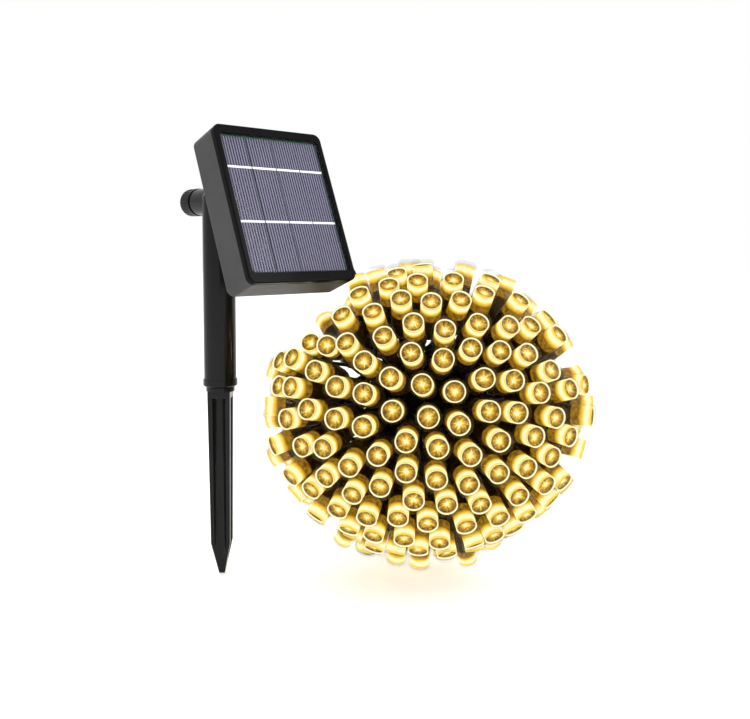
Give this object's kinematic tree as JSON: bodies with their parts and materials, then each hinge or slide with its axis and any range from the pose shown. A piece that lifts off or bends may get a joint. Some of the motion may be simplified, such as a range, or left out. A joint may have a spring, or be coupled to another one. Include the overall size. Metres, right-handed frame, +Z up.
{
  "type": "solar string lights",
  "caption": "Small tilting solar panel head on a ground stake, feeding a long string of capped warm lamps shown gathered in a lit bundle.",
  "frame": {"origin": "tip of the ground spike, on the post's axis, on the plane that the bundle of lights rests on", "axes": "+Z up along the post, -Y the way the solar panel faces, +X along the tilt pin towards the lead's gland"},
  "size_m": [0.1556, 0.1668, 0.2028],
  "materials": {
    "black_gloss_plastic": "gloss",
    "black_satin_plastic": "satin",
    "grey_back_plastic": "satin",
    "steel": "brushed",
    "nickel": "polished",
    "black_rubber": "matte",
    "board_green": "satin",
    "cell_violet": "gloss",
    "silver_trace": "satin",
    "clear_cover": "clear, gloss",
    "battery_wrap": "gloss",
    "holder_plastic": "matte",
    "switch_plastic": "matte",
    "button_rubber": "matte",
    "dark_wire": "satin",
    "wire_hank": "satin",
    "dark_holder": "satin",
    "amber_cup": "gloss",
    "lamp_warm": "lit, warm white",
    "clear_cap": "clear, gloss"
  },
  "bodies": {
    "post": {"post_tube": "black_gloss_plastic", "post_head": "black_gloss_plastic", "post_collar": "black_gloss_plastic", "eye_bolt": "steel", "lock_washer": "steel", "lead_wire": "dark_wire", "string_hank": "wire_hank", "led_holders": "dark_holder", "led_cups": "amber_cup", "led_lamps": "lamp_warm", "led_caps": "clear_cap"},
    "head": {"back_cover": "grey_back_plastic", "housing_shell": "grey_back_plastic", "housing_gasket": "black_rubber", "front_frame": "black_gloss_plastic", "clear_cover": "clear_cover", "solar_board": "board_green", "solar_cells": "cell_violet", "cell_busbars": "silver_trace", "battery": "battery_wrap", "battery_contacts": "nickel", "battery_holder": "holder_plastic", "control_board": "board_green", "push_switches": "switch_plastic", "housing_screws": "steel", "tilt_pin": "steel", "tilt_nut": "steel", "cable_gland": "black_rubber"},
    "knob": {"lock_knob": "black_satin_plastic"},
    "power": {"power_button": "button_rubber"},
    "mode": {"mode_button": "button_rubber"},
    "stake": {"spike": "black_gloss_plastic"}
  },
  "joints": [
    {"name": "panel_tilt", "type": "hinge", "parent": "post", "child": "head", "pos_m": [0, -0.0232, 0.1738], "axis": [-1, 0, 0], "range_deg": [-21.5, 68.5]},
    {"name": "knob_turn", "type": "hinge", "parent": "post", "child": "knob", "pos_m": [0, 0.0157, 0.1738], "axis": [0, 1, 0], "range_deg": [0, 270]},
    {"name": "power_press", "type": "slide", "parent": "head", "child": "power", "axis": [0, -0.9304, 0.3665], "range_m": [0, 0.0008], "stiffness_N_per_m": 1800},
    {"name": "mode_press", "type": "slide", "parent": "head", "child": "mode", "axis": [0, -0.9304, 0.3665], "range_m": [0, 0.0008], "stiffness_N_per_m": 1800},
    {"name": "spike_turn", "type": "hinge", "parent": "post", "child": "stake", "pos_m": [0, 0, 0.0881], "axis": [0, 0, 1], "continuous": true}
  ]
}
